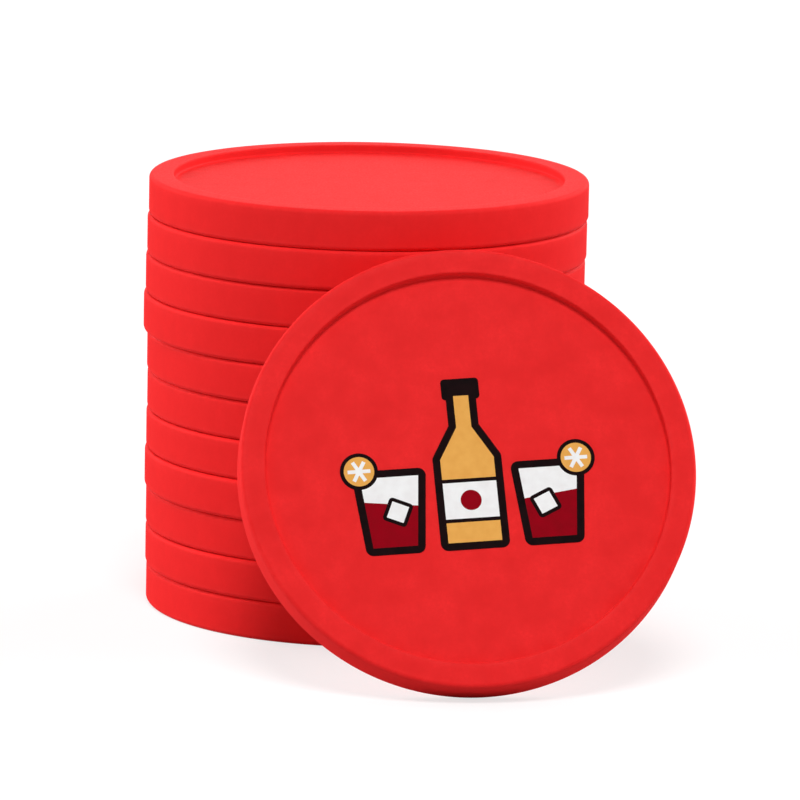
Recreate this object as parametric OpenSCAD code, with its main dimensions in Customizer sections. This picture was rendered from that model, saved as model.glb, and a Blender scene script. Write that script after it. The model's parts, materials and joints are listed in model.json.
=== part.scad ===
// A set of round plastic drink chips: a straight stack, and one printed chip leaning on its front.
// Millimetres, +Z up. The origin is the centre of the stack's bottom chip, on the table.
// The front is towards -Y, and the leaning chip stands at the front, a little to the right.

/* [Chip] */
// Diameter of a chip
chip_d = 39; // [36:0.5:44]
// Thickness of a chip over its two rims
chip_t = 3.5; // [2.8:0.1:4]
// Width of the raised rim round each face
rim_w = 2.2; // [1.5:0.1:3]
// Depth of the recess inside each rim
recess_d = 0.7; // [0.3:0.05:0.8]
// Radius of the rim's rounded edges
edge_r = 0.4; // [0.1:0.05:0.5]

/* [Stack] */
// Number of chips in the stack
stack_count = 11; // [8:1:14]

/* [Leaning chip] */
// Angle between the leaning chip and the vertical
lean_angle = 28.5; // [20:0.5:40]
// Direction that the leaning chip faces, from the front towards the right
lean_facing = 5; // [-40:0.5:40]
// Place round the leaning chip's edge that touches the stack, from its top towards the right
lean_touch = -12; // [-20:0.5:20]
// Turn of the leaning chip in its own plane, anticlockwise
lean_turn = 4; // [-30:1:30]
// Clearance between the leaning chip and the stack
lean_gap = 0.1; // [0.05:0.05:0.3]

/* [Print] */
// Thickness of the ink
ink_t = 0.05; // [0.03:0.01:0.1]
// Width of the outlines
ink_line = 0.65; // [0.4:0.05:0.9]
// Height of the bottle without its outline
bottle_h = 13; // [11:0.5:15]
// Width of the bottle without its outline
bottle_w = 4.6; // [4:0.2:5.4]
// Height of the bottle up to its shoulder
shoulder_h = 7.4; // [6:0.2:8]
// Width of the bottle's neck without its outline
neck_w = 1.3; // [1:0.1:2]
// Height of the bottle's cap
cap_h = 1.2; // [0.8:0.1:1.8]
// Height of the bottle's label
label_h = 3.2; // [2.2:0.1:4]
// Diameter of the seal on the label
seal_d = 1.8; // [1:0.1:2]
// Height of a tumbler without its outline
tumbler_h = 6.2; // [5:0.2:7.4]
// Width of a tumbler's mouth without its outline
mouth_w = 5; // [4.2:0.2:5.6]
// Width of a tumbler's foot without its outline
foot_w = 3.8; // [3:0.2:4.2]
// Depth of the drink in a tumbler
drink_h = 3.8; // [3:0.1:4.4]
// Side of the ice cube in a tumbler
ice_w = 1.5; // [1:0.1:1.7]
// Diameter of the citrus slice on a tumbler's rim
slice_d = 2.6; // [2:0.1:3.2]
// Space between the bottle's outline and each tumbler's
motif_gap = 0.7; // [0.4:0.1:1.2]

/* [Hidden] */
$fn = 96;
plastic_red = [0.89, 0.16, 0.17];
ink_white = [0.96, 0.95, 0.93];
ink_black = [0.06, 0.03, 0.03];
ink_wine = [0.57, 0.02, 0.08];
ink_amber = [0.91, 0.66, 0.33];

chip_r = chip_d / 2;
recess_r = chip_r - rim_w;
web_t = chip_t - 2 * recess_d;
stack_h = stack_count * chip_t;

// Sideways and backward settling of each chip on the bottom one, from the bottom chip up
stack_shifts = [
  [0, 0], [-0.1, -0.05], [-0.1, 0.1], [-0.25, -0.1], [-0.15, 0.05], [-0.1, 0.15],
  [-0.15, 0], [-0.5, 0.1], [-0.35, 0.05], [-0.25, -0.15], [-0.15, -0.1]
];

// The leaning chip's rounded back edge rests on the table at its foot and on the stack near its top,
// far enough out for every chip of the stack to be lifted past it
edge_along = chip_r - edge_r;
edge_back = chip_t - edge_r;
lean_z = edge_along * cos(lean_angle) + edge_back * sin(lean_angle) + edge_r;
// Seen from above, the way the leaning chip faces and the way to the right of that
facing_way = [sin(lean_facing), -cos(lean_facing)];
right_way = [cos(lean_facing), sin(lean_facing)];
// On a tall stack the leaning chip's edge meets the stack's wall
touch_z = lean_z + edge_along * cos(lean_touch) * cos(lean_angle) - edge_back * sin(lean_angle);
touch_way = unit(cos(lean_touch) * facing_way - sin(lean_touch) * sin(lean_angle) * right_way);
touch_reach = foremost_shift(touch_way) + chip_r + edge_r + lean_gap;
edge_reach = edge_along * cos(lean_touch) * sin(lean_angle) + edge_back * cos(lean_angle);
wall_place = touch_reach * touch_way + edge_reach * facing_way - edge_along * sin(lean_touch) * right_way;
// On a low stack the stack's top edge meets the leaning chip's back
top_edge_rise = (stack_h - edge_r - lean_z) * sin(lean_angle);
top_reach = edge_along + (chip_t + edge_r + lean_gap + top_edge_rise) / cos(lean_angle);
top_place = (foremost_shift(facing_way) + top_reach) * facing_way;
lean_place = touch_z < stack_h - edge_r ? wall_place : top_place;

// The print stands on one line, with the bottle in the middle and a tumbler on each side
print_foot = -bottle_h / 2;
tumbler_x = bottle_w / 2 + mouth_w / 2 + 2 * ink_line + motif_gap;
label_y = print_foot + (shoulder_h - label_h) / 2;
neck_y = print_foot + (shoulder_h + bottle_h) / 2;
cap_w = neck_w + 3 * ink_line;
thin_line = ink_line / 2;
drink_y = print_foot + drink_h;
drink_slope = 7;
ice_tilt = 24;
ice_middle = [-foot_w / 8, drink_y - ice_w / 2];
slice_middle = [mouth_w / 2, print_foot + tumbler_h + ink_line];
slice_arms = 6;
corner_steps = 6;

STACK_NODES = [for (level = [0 : stack_count - 1]) stack_name(level)];

function stack_name(level) = str("stack_chip_", level < 9 ? "0" : "", level + 1);

function stack_shift(level) = stack_shifts[level % len(stack_shifts)];

// How far the chip that has settled furthest in a direction has gone that way
function foremost_shift(way) = max([for (level = [0 : stack_count - 1]) stack_shift(level) * way]);

// Direction with a length of one
function unit(way) = way / norm(way);

// Bearing of the outward side of an edge, on an outline that runs anticlockwise
function side_angle(from, to) = atan2(to.y - from.y, to.x - from.x) - 90;

// Angle brought between -180 and 180
function half_turn(angle) = angle - 360 * round(angle / 360);

// Point at a distance from another, in a given direction
function away(point, angle, distance) = point + distance * [cos(angle), sin(angle)];

// Corner of an outline moved out by a width: an arc where it points out, a mitre where it points in
function grown_corner(before, here, after, width) =
  let (first = side_angle(before, here))
  let (turn = half_turn(side_angle(here, after) - first))
  turn > 0
    ? [for (step = [0 : corner_steps]) away(here, first + turn * step / corner_steps, width)]
    : [away(here, first + turn / 2, width / cos(turn / 2))];

// Outline moved out by a width
function grown(points, width) = [
  for (i = [0 : len(points) - 1])
    let (before = points[(i + len(points) - 1) % len(points)], after = points[(i + 1) % len(points)])
      each grown_corner(before, points[i], after, width)
];

// Outline of a box from its lower left corner
function box_points(corner, size) = [
  corner,
  corner + [size.x, 0],
  corner + size,
  corner + [0, size.y]
];

// Outline turned by an angle and moved
function placed(points, angle, place) = [
  for (p = points)
    place + [p.x * cos(angle) - p.y * sin(angle), p.x * sin(angle) + p.y * cos(angle)]
];

// Inside of the bottle's outline: body, sloping shoulders and neck
bottle_points = [
  [-bottle_w / 2, print_foot],
  [bottle_w / 2, print_foot],
  [bottle_w / 2, print_foot + shoulder_h],
  [neck_w / 2, neck_y],
  [neck_w / 2, print_foot + bottle_h],
  [-neck_w / 2, print_foot + bottle_h],
  [-neck_w / 2, neck_y],
  [-bottle_w / 2, print_foot + shoulder_h]
];

// Inside of a tumbler's outline, wider at its mouth
tumbler_points = [
  [-foot_w / 2, print_foot],
  [foot_w / 2, print_foot],
  [mouth_w / 2, print_foot + tumbler_h],
  [-mouth_w / 2, print_foot + tumbler_h]
];

// Ice cube tilted in the drink's surface
ice_points = placed(box_points([-ice_w / 2, -ice_w / 2], [ice_w, ice_w]), ice_tilt, ice_middle);

// One arm of the pith between the slice's segments, and the inner corner before the next arm
pith_arm = [
  [slice_d / 2 - thin_line, -thin_line / 2],
  [slice_d / 2 - thin_line, thin_line / 2],
  [thin_line / 2 / tan(180 / slice_arms), thin_line / 2]
];

pith_points = [for (arm = [0 : slice_arms - 1]) each placed(pith_arm, arm * 360 / slice_arms, slice_middle)];

// Half section of the rim, with rounded edges
module rim_section() {
  translate([recess_r, edge_r])
    square([rim_w, chip_t - 2 * edge_r]);
  translate([recess_r + edge_r, 0])
    square([rim_w - 2 * edge_r, chip_t]);
  for (x = [recess_r + edge_r, chip_r - edge_r], y = [edge_r, chip_t - edge_r])
    translate([x, y])
      circle(r = edge_r);
}

// A chip lying on its lower rim, centred on the Z axis
module chip() {
  color(plastic_red)
    rotate_extrude()
      union() {
        rim_section();
        translate([0, recess_d])
          square([recess_r + edge_r, web_t]);
      }
}

// A chip of the stack, settled on the one below
module stack_chip(level) {
  translate([stack_shift(level).x, stack_shift(level).y, level * chip_t])
    chip();
}

// Place of the leaning chip, for what is modelled on a chip that lies on its lower rim
module leaning_place() {
  translate([lean_place.x, lean_place.y, lean_z])
    rotate([90 - lean_angle, 0, lean_facing])
      translate([0, 0, -chip_t])
        rotate([0, 0, lean_turn])
          children();
}

module leaning_chip() {
  leaning_place()
    chip();
}

// Flat shapes made into a film of ink on the floor of the leaning chip's front recess
module ink_film(ink) {
  color(ink)
    leaning_place()
      translate([0, 0, chip_t - recess_d])
        linear_extrude(height = ink_t)
          children();
}

// Both tumblers, the left one as the right one's mirror image
module at_tumblers() {
  for (side = [0, 1])
    mirror([side, 0])
      translate([tumbler_x, 0])
        children();
}

// Label with the thin lines that close it above and below
module label_band() {
  translate([-bottle_w / 2, label_y - thin_line])
    square([bottle_w, label_h + 2 * thin_line]);
}

// Label between its two thin lines
module label_face() {
  translate([-bottle_w / 2, label_y])
    square([bottle_w, label_h]);
}

// Round seal in the middle of the label
module label_seal() {
  translate([0, label_y + label_h / 2])
    circle(d = seal_d);
}

// Cap over the top of the neck, with rounded corners
module bottle_cap() {
  cap_core = [cap_w - ink_line, cap_h];
  polygon(grown(box_points([-cap_core.x / 2, print_foot + bottle_h], cap_core), thin_line));
}

// Part of a tumbler's inside between two heights over the drink's sloping surface
module tumbler_band(low, high) {
  intersection() {
    polygon(tumbler_points);
    translate([0, drink_y])
      rotate(drink_slope)
        translate([-mouth_w, low])
          square([2 * mouth_w, high - low]);
  }
}

// Drink up to its surface
module drink() {
  tumbler_band(-2 * tumbler_h, 0);
}

// Empty part of the tumbler above the drink
module headroom() {
  tumbler_band(0, 2 * tumbler_h);
}

// Citrus slice on the rim, with its outline
module slice_outside() {
  translate(slice_middle)
    circle(d = slice_d + ink_line);
}

// Citrus slice inside its outline
module slice_inside() {
  translate(slice_middle)
    circle(d = slice_d);
}

module print_white() {
  ink_film(ink_white) {
    difference() {
      label_face();
      label_seal();
    }
    at_tumblers() {
      difference() {
        headroom();
        polygon(grown(ice_points, thin_line));
        slice_outside();
      }
      polygon(ice_points);
      polygon(pith_points);
    }
  }
}

module print_black() {
  ink_film(ink_black) {
    difference() {
      union() {
        polygon(grown(bottle_points, ink_line));
        bottle_cap();
      }
      difference() {
        polygon(bottle_points);
        label_band();
      }
      label_face();
    }
    at_tumblers()
      difference() {
        union() {
          polygon(grown(tumbler_points, ink_line));
          slice_outside();
        }
        difference() {
          polygon(tumbler_points);
          polygon(grown(ice_points, thin_line));
          slice_outside();
        }
        polygon(ice_points);
        slice_inside();
      }
  }
}

module print_wine() {
  ink_film(ink_wine) {
    label_seal();
    at_tumblers()
      difference() {
        drink();
        polygon(grown(ice_points, thin_line));
        slice_outside();
      }
  }
}

module print_amber() {
  ink_film(ink_amber) {
    difference() {
      polygon(bottle_points);
      label_band();
    }
    at_tumblers()
      difference() {
        slice_inside();
        polygon(pith_points);
      }
  }
}

for (level = [0 : stack_count - 1])
  stack_chip(level);
leaning_chip();
print_white();
print_black();
print_wine();
print_amber();
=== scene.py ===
"""Looks of a set of drink chips: a stack of red plastic chips, and one printed chip leaning on its front."""

import json
import math

import bmesh
import bpy
from mathutils import Color, Matrix, Vector, noise


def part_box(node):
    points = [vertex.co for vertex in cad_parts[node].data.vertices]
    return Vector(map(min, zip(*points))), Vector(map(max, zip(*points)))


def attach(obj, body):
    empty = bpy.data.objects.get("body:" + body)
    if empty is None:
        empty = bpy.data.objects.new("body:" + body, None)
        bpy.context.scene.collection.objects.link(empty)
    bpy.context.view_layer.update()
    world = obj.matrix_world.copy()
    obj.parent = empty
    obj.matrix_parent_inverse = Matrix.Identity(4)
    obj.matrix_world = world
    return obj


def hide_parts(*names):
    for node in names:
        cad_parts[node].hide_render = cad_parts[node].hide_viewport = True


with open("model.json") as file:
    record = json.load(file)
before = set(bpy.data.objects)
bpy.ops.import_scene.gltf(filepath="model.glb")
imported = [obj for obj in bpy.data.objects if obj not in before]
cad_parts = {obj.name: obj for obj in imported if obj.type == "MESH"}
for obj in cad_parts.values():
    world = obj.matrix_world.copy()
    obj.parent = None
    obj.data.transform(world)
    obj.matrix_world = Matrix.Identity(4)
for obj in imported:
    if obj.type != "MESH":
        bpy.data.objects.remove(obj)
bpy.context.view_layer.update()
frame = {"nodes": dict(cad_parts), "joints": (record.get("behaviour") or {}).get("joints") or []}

MM = 0.001

# Sizes of a chip, from the frame where the frame has them
STACK_NODES = sorted(name for name in frame["nodes"] if name.startswith("stack_chip"))
LEANING_NODE = "leaning_chip"
LEANING_JOINT = "pull_leaning_chip"
chip_low, chip_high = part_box(STACK_NODES[0])
chip_radius = (chip_high.x - chip_low.x) / 2
chip_thick = chip_high.z - chip_low.z
rim_width = 2.2 * MM
recess_radius = chip_radius - rim_width
recess_depth = 0.7 * MM
edge_round = 0.4 * MM
crest_round = 0.15 * MM
foot_round = 0.22 * MM

# Fineness of a chip's mesh
chip_segments = 240
floor_rings = 16
rim_rings = 4
wall_rings = 6
arc_steps = 7

# Unevenness of the moulding: its depth, the spacing of its waves, and their shift from chip to chip
wall_dip = 0.012 * MM
wall_wave = 9 * MM
floor_swell = 0.016 * MM
floor_wave = 4.5 * MM
chip_offset = 0.31

# Colours of the plastic as a screen shows them, in steps
screen_steps = 255
deep_red = (225, 30, 31)
light_red = (243, 40, 41)
flow_red = (217, 28, 29)
# Paler red painted on the upright walls as a sheen of reflected light
painted_sheen_red = (233, 52, 53)
rubbed_red = (242, 60, 60)

# Colours of the inks in the same steps, each in full and where the ink is thin
inks = {
    "white": ((243, 243, 243), (236, 234, 234)),
    "black": ((12, 4, 5), (24, 8, 10)),
    "wine": ((146, 0, 20), (136, 2, 18)),
    "amber": ((233, 171, 86), (226, 162, 78)),
}

# Noise in the finishes: the size of its features, detail, roughness, and squeeze along x, y and z
patterns = {
    "clouds": (3 * MM, 3, 0.55, (1, 1.6, 1)),
    "flow": (1.6 * MM, 4, 0.6, (1.8, 1, 1)),
    "speckle": (0.3 * MM, 3, 0.7, (1, 1, 1)),
    "rubbing": (0.7 * MM, 4, 0.65, (1, 1, 1)),
    "ripple": (1.1 * MM, 3, 0.5, (1, 1, 1)),
    "grain": (0.16 * MM, 2, 0.5, (1, 1, 1)),
    "ink_cover": (0.9 * MM, 4, 0.5, (1, 1, 1)),
    "ink_grain": (0.14 * MM, 2, 0.5, (1, 1, 1)),
}

# Middle of a noise's range, which is spread over the range that a finish needs
noise_low = 0.3
noise_high = 0.7

# Finish of the plastic: shares of its marks and colours and of the painted sheen on its walls, roughness,
# depth of its bumps, and gloss
cloud_mean = 0.5
wall_calm = 0.7
flow_share = 0.4
speckle_share = 0.6
painted_sheen_share = 0.22
rubbed_share = 0.15
plastic_roughness = (0.47, 0.59)
wall_roughness = 1
ripple_depth = 0.008 * MM
grain_depth = 0.006 * MM
plastic_gloss = 0.062

# Finish of the inks: roughness, depth of their bumps, and gloss
ink_roughness = (0.48, 0.6)
ink_grain_depth = 0.004 * MM
ink_gloss = 0.02

# Strength of every bump
bump_strength = 0.5

# Camera: its place, its turns in degrees, and its lens and sensor in millimetres, for a square picture
camera_place = Vector((0, -620, 138.6)) * MM
camera_yaw = 0.272
camera_pitch = 10.984
camera_roll = 1.095
camera_lens = 318.7
camera_sensor = 36

# World light: its colour, its level on the object, and its level as the camera sees it
pure_white = (1, 1, 1, 1)
world_level = 0.1
seen_level = 1

# Lamps: the direction each shines from, its energy and its spread in degrees
lamps = {
    "top_lamp": (Vector((0.03, -0.5, 0.865)), 2.27, 22),
    "left_front_lamp": (Vector((-0.87, -0.45, 0.15)), 0.3, 50),
    "left_back_lamp": (Vector((-0.9, 0.35, 0.14)), 3.8, 50),
    "right_front_lamp": (Vector((0.8, -0.5, 0.15)), 0.55, 50),
    "right_back_lamp": (Vector((0.8, 0.5, 0.14)), 3.8, 60),
}

# Floor: half its side in metres, the share of glow that the camera sees, and its grey to all other light
floor_half = 4
floor_glow = 0.7
floor_bounce = (0.52, 0.52, 0.52, 1)


def from_screen(steps):
    """Shader colour of a colour as a screen shows it."""
    shown = Color([step / screen_steps for step in steps])
    return (*shown.from_srgb_to_scene_linear(), 1)


def add_object(name, data):
    """New object in the scene for a mesh, a lamp or a camera."""
    thing = bpy.data.objects.new(name, data)
    bpy.context.scene.collection.objects.link(thing)
    return thing


def arc(centre, radius, start, end):
    """Points of a round stretch of a section, between two angles in degrees."""
    points = []
    for step in range(arc_steps + 1):
        angle = math.radians(start + (end - start) * step / arc_steps)
        points.append((centre[0] + radius * math.cos(angle), centre[1] + radius * math.sin(angle)))
    return points


def straight(start, end, count):
    """Points between two points of a section, without the two."""
    points = []
    for step in range(1, count):
        share = step / count
        points.append(tuple(a + (b - a) * share for a, b in zip(start, end)))
    return points


def half_section():
    """Upper half of a chip's section, from beside the axis to the wall's top, as (radius, height, wear)."""
    top = chip_thick / 2
    floor = top - recess_depth
    foot = arc((recess_radius - foot_round, floor + foot_round), foot_round, -90, 0)
    crest = arc((recess_radius + crest_round, top - crest_round), crest_round, 180, 90)
    edge = arc((chip_radius - edge_round, top - edge_round), edge_round, 90, 0)
    smooth = straight((0, floor), foot[0], floor_rings) + foot
    points = [(*point, 0.0) for point in smooth]
    points += [(*point, 1.0) for point in crest]
    points += [(*point, 0.0) for point in straight(crest[-1], edge[0], rim_rings)]
    points += [(*point, 1.0) for point in edge]
    return points


def chip_section():
    """A chip's whole section, from beside the axis on top to beside the axis below."""
    upper = half_section()
    lower = [(radius, -height, wear) for radius, height, wear in reversed(upper)]
    wall = straight(upper[-1][:2], lower[0][:2], wall_rings)
    return upper + [(*point, 0.0) for point in wall] + lower


def turned(section):
    """Closed model of a section turned round the axis, which carries the wear of each point."""
    model = bmesh.new()
    wear_layer = model.verts.layers.float.new("edge_wear")
    rings = []
    for radius, height, wear in section:
        ring = []
        for segment in range(chip_segments):
            angle = 2 * math.pi * segment / chip_segments
            vertex = model.verts.new((radius * math.cos(angle), radius * math.sin(angle), height))
            vertex[wear_layer] = wear
            ring.append(vertex)
        rings.append(ring)
    for upper, lower in zip(rings, rings[1:]):
        for segment in range(chip_segments):
            following = (segment + 1) % chip_segments
            model.faces.new((upper[segment], lower[segment], lower[following], upper[following]))
    for ring, height in ((rings[0], section[0][1]), (rings[-1], section[-1][1])):
        middle = model.verts.new((0, 0, height))
        for segment in range(chip_segments):
            model.faces.new((middle, ring[segment], ring[(segment + 1) % chip_segments]))
    bmesh.ops.recalc_face_normals(model, faces=model.faces)
    model.normal_update()
    return model


def wave(point, spacing, offset):
    """Slow wave over space, between 0 and 1."""
    return 0.5 + 0.5 * noise.noise(point / spacing + Vector((offset, -offset, offset)))


def moulded(point, normal, offset):
    """A point of the chip moved by the unevenness, in at its rim and wall and out on its floors."""
    inside = math.hypot(point.x, point.y) < recess_radius - foot_round
    if inside:
        return point + normal * floor_swell * wave(point, floor_wave, offset)
    return point - normal * wall_dip * wave(point, wall_wave, offset)


def chip_mesh(name, place, offset):
    """Mesh of one chip, made uneven and put in place, which carries how upright each point's surface is."""
    model = turned(chip_section())
    upright_layer = model.verts.layers.float.new("upright")
    for vertex in model.verts:
        vertex[upright_layer] = 1 - abs(vertex.normal.z)
        vertex.co = place @ moulded(vertex.co, vertex.normal, offset)
    for face in model.faces:
        face.smooth = True
    model.normal_update()
    mesh = bpy.data.meshes.new(name)
    model.to_mesh(mesh)
    model.free()
    return mesh


def add_chip(node, place, offset, finish):
    """The moulding that stands for a CAD chip."""
    name = node + "_moulding"
    piece = add_object(name, chip_mesh(name, place, offset))
    piece.data.materials.append(finish)
    piece.modifiers.new("even_shading", "WEIGHTED_NORMAL")
    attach(piece, node)
    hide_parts(node)


def upright_place(node):
    """Place of a chip that lies flat: the middle of its CAD node."""
    low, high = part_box(node)
    return Matrix.Translation((low + high) / 2)


def leaning_place():
    """Place of the leaning chip: the middle of its CAD node, facing the way it is pulled."""
    low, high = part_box(LEANING_NODE)
    pull = next(joint for joint in frame["joints"] if joint["name"] == LEANING_JOINT)
    facing = Vector(pull["axis"]).to_track_quat("Z", "Y").to_matrix().to_4x4()
    return Matrix.Translation((low + high) / 2) @ facing


def colour_sockets(sockets):
    """Those of a node's sockets that hold a colour."""
    return [socket for socket in sockets if socket.type == "RGBA"]


class Shader:
    """A material's nodes, with short calls to add and join them."""

    def __init__(self, name):
        self.material = bpy.data.materials.new(name)
        self.material.use_nodes = True
        self.tree = self.material.node_tree
        self.surface = self.tree.nodes["Principled BSDF"]
        self.place = self.add("ShaderNodeTexCoord").outputs["Object"]

    def add(self, kind, **settings):
        """New node of a kind, with its settings."""
        node = self.tree.nodes.new(kind)
        for setting, value in settings.items():
            setattr(node, setting, value)
        return node

    def feed(self, value, socket):
        """Gives a socket another node's output to follow, or a number or colour to hold."""
        if isinstance(value, bpy.types.NodeSocket):
            self.tree.links.new(value, socket)
        else:
            socket.default_value = value

    def noise(self, pattern):
        """Noise of a named pattern, which stays in place on the piece."""
        size, detail, roughness, squeeze = patterns[pattern]
        mapping = self.add("ShaderNodeMapping")
        self.feed(self.place, mapping.inputs["Vector"])
        self.feed(squeeze, mapping.inputs["Scale"])
        node = self.add("ShaderNodeTexNoise")
        self.feed(mapping.outputs["Vector"], node.inputs["Vector"])
        self.feed(1 / size, node.inputs["Scale"])
        self.feed(detail, node.inputs["Detail"])
        self.feed(roughness, node.inputs["Roughness"])
        return node.outputs["Fac"]

    def between(self, value, low, high):
        """A value brought from the middle of a noise's range to another range."""
        node = self.add("ShaderNodeMapRange")
        self.feed(value, node.inputs["Value"])
        self.feed(noise_low, node.inputs["From Min"])
        self.feed(noise_high, node.inputs["From Max"])
        self.feed(low, node.inputs["To Min"])
        self.feed(high, node.inputs["To Max"])
        return node.outputs["Result"]

    def mix(self, share, first, second):
        """Colour that is a share of the way from the first to the second."""
        node = self.add("ShaderNodeMix", data_type="RGBA")
        self.feed(share, node.inputs["Factor"])
        for value, socket in zip((first, second), colour_sockets(node.inputs)):
            self.feed(value, socket)
        return colour_sockets(node.outputs)[0]

    def toward(self, value, target, share):
        """A number moved by a share of the way to a target."""
        node = self.add("ShaderNodeMix", data_type="FLOAT")
        self.feed(share, node.inputs["Factor"])
        self.feed(value, node.inputs["A"])
        self.feed(target, node.inputs["B"])
        return node.outputs["Result"]

    def times(self, first, second):
        """Product of two numbers."""
        node = self.add("ShaderNodeMath", operation="MULTIPLY")
        self.feed(first, node.inputs[0])
        self.feed(second, node.inputs[1])
        return node.outputs["Value"]

    def attribute(self, name):
        """Number that the mesh carries at each of its points."""
        return self.add("ShaderNodeAttribute", attribute_name=name).outputs["Fac"]

    def bump(self, height, depth, below=None):
        """Normal of a bumpy surface, over other bumps where there are some below."""
        node = self.add("ShaderNodeBump")
        self.feed(height, node.inputs["Height"])
        self.feed(depth, node.inputs["Distance"])
        self.feed(bump_strength, node.inputs["Strength"])
        if below:
            self.feed(below, node.inputs["Normal"])
        return node.outputs["Normal"]


def chip_plastic():
    """Matte moulded red plastic: cloudy flow marks, fine grain, calmer walls paled by a painted sheen, and
    rubbed edges.
    """
    shader = Shader("red_chip_plastic")
    upright = shader.attribute("upright")
    clouds = shader.between(shader.noise("clouds"), 0, 1)
    clouds = shader.toward(clouds, cloud_mean, shader.times(upright, wall_calm))
    flow = shader.between(shader.noise("flow"), 0, flow_share)
    speckle = shader.between(shader.noise("speckle"), 0, speckle_share)
    patches = shader.between(shader.noise("rubbing"), 0, rubbed_share)
    body = shader.mix(clouds, from_screen(deep_red), from_screen(light_red))
    body = shader.mix(flow, body, from_screen(flow_red))
    body = shader.mix(speckle, body, from_screen(deep_red))
    # Painted sheen: upright walls are paled toward a lighter red, which stands in for a gloss of reflected
    # light
    body = shader.mix(shader.times(upright, painted_sheen_share), body, from_screen(painted_sheen_red))
    body = shader.mix(shader.times(shader.attribute("edge_wear"), patches), body, from_screen(rubbed_red))
    shader.feed(body, shader.surface.inputs["Base Color"])
    grain = shader.noise("grain")
    satin = shader.between(grain, *plastic_roughness)
    shader.feed(shader.toward(satin, wall_roughness, upright), shader.surface.inputs["Roughness"])
    ripple = shader.bump(shader.noise("ripple"), ripple_depth)
    shader.feed(shader.bump(grain, grain_depth, ripple), shader.surface.inputs["Normal"])
    shader.feed(plastic_gloss, shader.surface.inputs["Specular IOR Level"])
    return shader.material


def print_ink(name, full_colour, thin_colour):
    """Printed ink: a matte film, a little thinner in places, over the plastic's grain."""
    shader = Shader(name)
    thinness = shader.between(shader.noise("ink_cover"), 0, 1)
    body = shader.mix(thinness, from_screen(full_colour), from_screen(thin_colour))
    shader.feed(body, shader.surface.inputs["Base Color"])
    grain = shader.noise("ink_grain")
    shader.feed(shader.between(grain, *ink_roughness), shader.surface.inputs["Roughness"])
    shader.feed(shader.bump(grain, ink_grain_depth), shader.surface.inputs["Normal"])
    shader.feed(ink_gloss, shader.surface.inputs["Specular IOR Level"])
    return shader.material


def dress_node(node, finish):
    """Gives a CAD node that stays its material."""
    materials = frame["nodes"][node].data.materials
    materials.clear()
    materials.append(finish)


def seen_directly(tree):
    """Output that is 1 for what the camera sees, straight, in gloss or through glass."""
    path = tree.nodes.new("ShaderNodeLightPath")
    total = path.outputs["Is Camera Ray"]
    for ray in ("Is Glossy Ray", "Is Transmission Ray"):
        either = tree.nodes.new("ShaderNodeMath")
        either.operation = "MAXIMUM"
        tree.links.new(total, either.inputs[0])
        tree.links.new(path.outputs[ray], either.inputs[1])
        total = either.outputs["Value"]
    return total


def pale_floor():
    """White with a faint shadow to the camera, and a quieter grey for the light that it throws back."""
    material = bpy.data.materials.new("pale_floor")
    material.use_nodes = True
    tree = material.node_tree
    tree.nodes.remove(tree.nodes["Principled BSDF"])
    seen = seen_directly(tree)
    tone = tree.nodes.new("ShaderNodeMix")
    tone.data_type = "RGBA"
    unseen_tone, seen_tone = colour_sockets(tone.inputs)
    unseen_tone.default_value = floor_bounce
    seen_tone.default_value = pure_white
    tree.links.new(seen, tone.inputs["Factor"])
    matte = tree.nodes.new("ShaderNodeBsdfDiffuse")
    tree.links.new(colour_sockets(tone.outputs)[0], matte.inputs["Color"])
    glow = tree.nodes.new("ShaderNodeEmission")
    share = tree.nodes.new("ShaderNodeMath")
    share.operation = "MULTIPLY"
    tree.links.new(seen, share.inputs[0])
    share.inputs[1].default_value = floor_glow
    both = tree.nodes.new("ShaderNodeMixShader")
    tree.links.new(share.outputs["Value"], both.inputs["Fac"])
    tree.links.new(matte.outputs["BSDF"], both.inputs[1])
    tree.links.new(glow.outputs["Emission"], both.inputs[2])
    tree.links.new(both.outputs["Shader"], tree.nodes["Material Output"].inputs["Surface"])
    return material


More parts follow.
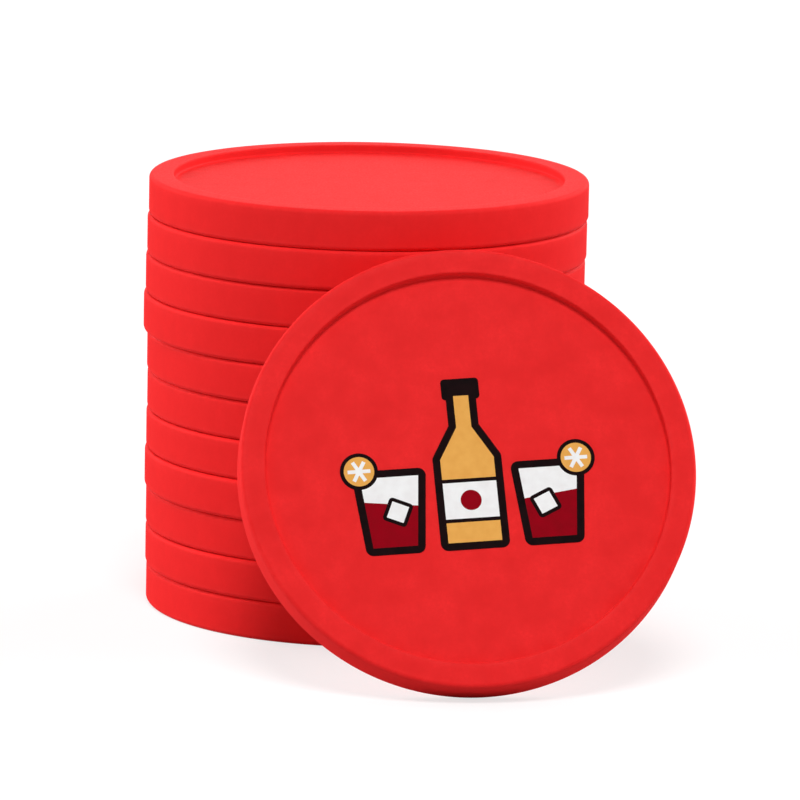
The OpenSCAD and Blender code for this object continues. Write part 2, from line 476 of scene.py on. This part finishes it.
def add_floor():
    """Pale floor that the set stands on."""
    sides = (-floor_half, floor_half)
    corners = [(x, y, 0) for y in sides for x in sides]
    corners_in_turn = (0, 1, 3, 2)
    mesh = bpy.data.meshes.new("floor")
    mesh.from_pydata(corners, [], [corners_in_turn])
    mesh.materials.append(pale_floor())
    floor = add_object("floor", mesh)


def add_light():
    """Even world light, a soft lamp above, and soft lamps at both sides, from the front and from behind."""
    world = bpy.data.worlds.new("studio")
    bpy.context.scene.world = world
    world.use_nodes = True
    tree = world.node_tree
    background = tree.nodes["Background"]
    background.inputs["Color"].default_value = pure_white
    strength = tree.nodes.new("ShaderNodeMapRange")
    strength.inputs["To Min"].default_value = world_level
    strength.inputs["To Max"].default_value = seen_level
    tree.links.new(seen_directly(tree), strength.inputs["Value"])
    tree.links.new(strength.outputs["Result"], background.inputs["Strength"])
    for name, (source, energy, spread) in lamps.items():
        lamp = bpy.data.lights.new(name, "SUN")
        lamp.energy = energy
        lamp.angle = math.radians(spread)
        holder = add_object(name, lamp)
        holder.rotation_euler = source.to_track_quat("Z", "Y").to_euler()


def add_camera():
    """Camera at the photograph's viewing angle."""
    yaw = math.radians(camera_yaw)
    pitch = math.radians(camera_pitch)
    ahead = Vector((math.sin(yaw) * math.cos(pitch), math.cos(yaw) * math.cos(pitch), -math.sin(pitch)))
    right = Vector((math.cos(yaw), -math.sin(yaw), 0))
    level = Matrix((right, right.cross(ahead), -ahead)).transposed()
    turned_level = level @ Matrix.Rotation(math.radians(camera_roll), 3, "Z")
    data = bpy.data.cameras.new("camera")
    data.lens = camera_lens
    data.sensor_width = camera_sensor
    camera = add_object("camera", data)
    camera.matrix_world = Matrix.Translation(camera_place) @ turned_level.to_4x4()
    bpy.context.scene.camera = camera


red_plastic = chip_plastic()
for level, node in enumerate(STACK_NODES):
    add_chip(node, upright_place(node), chip_offset * level, red_plastic)
add_chip(LEANING_NODE, leaning_place(), chip_offset * len(STACK_NODES), red_plastic)

for ink, (full_colour, thin_colour) in inks.items():
    dress_node("print_" + ink, print_ink(ink + "_print", full_colour, thin_colour))

add_floor()
add_light()
add_camera()
bpy.context.scene.view_settings.view_transform = "Standard"
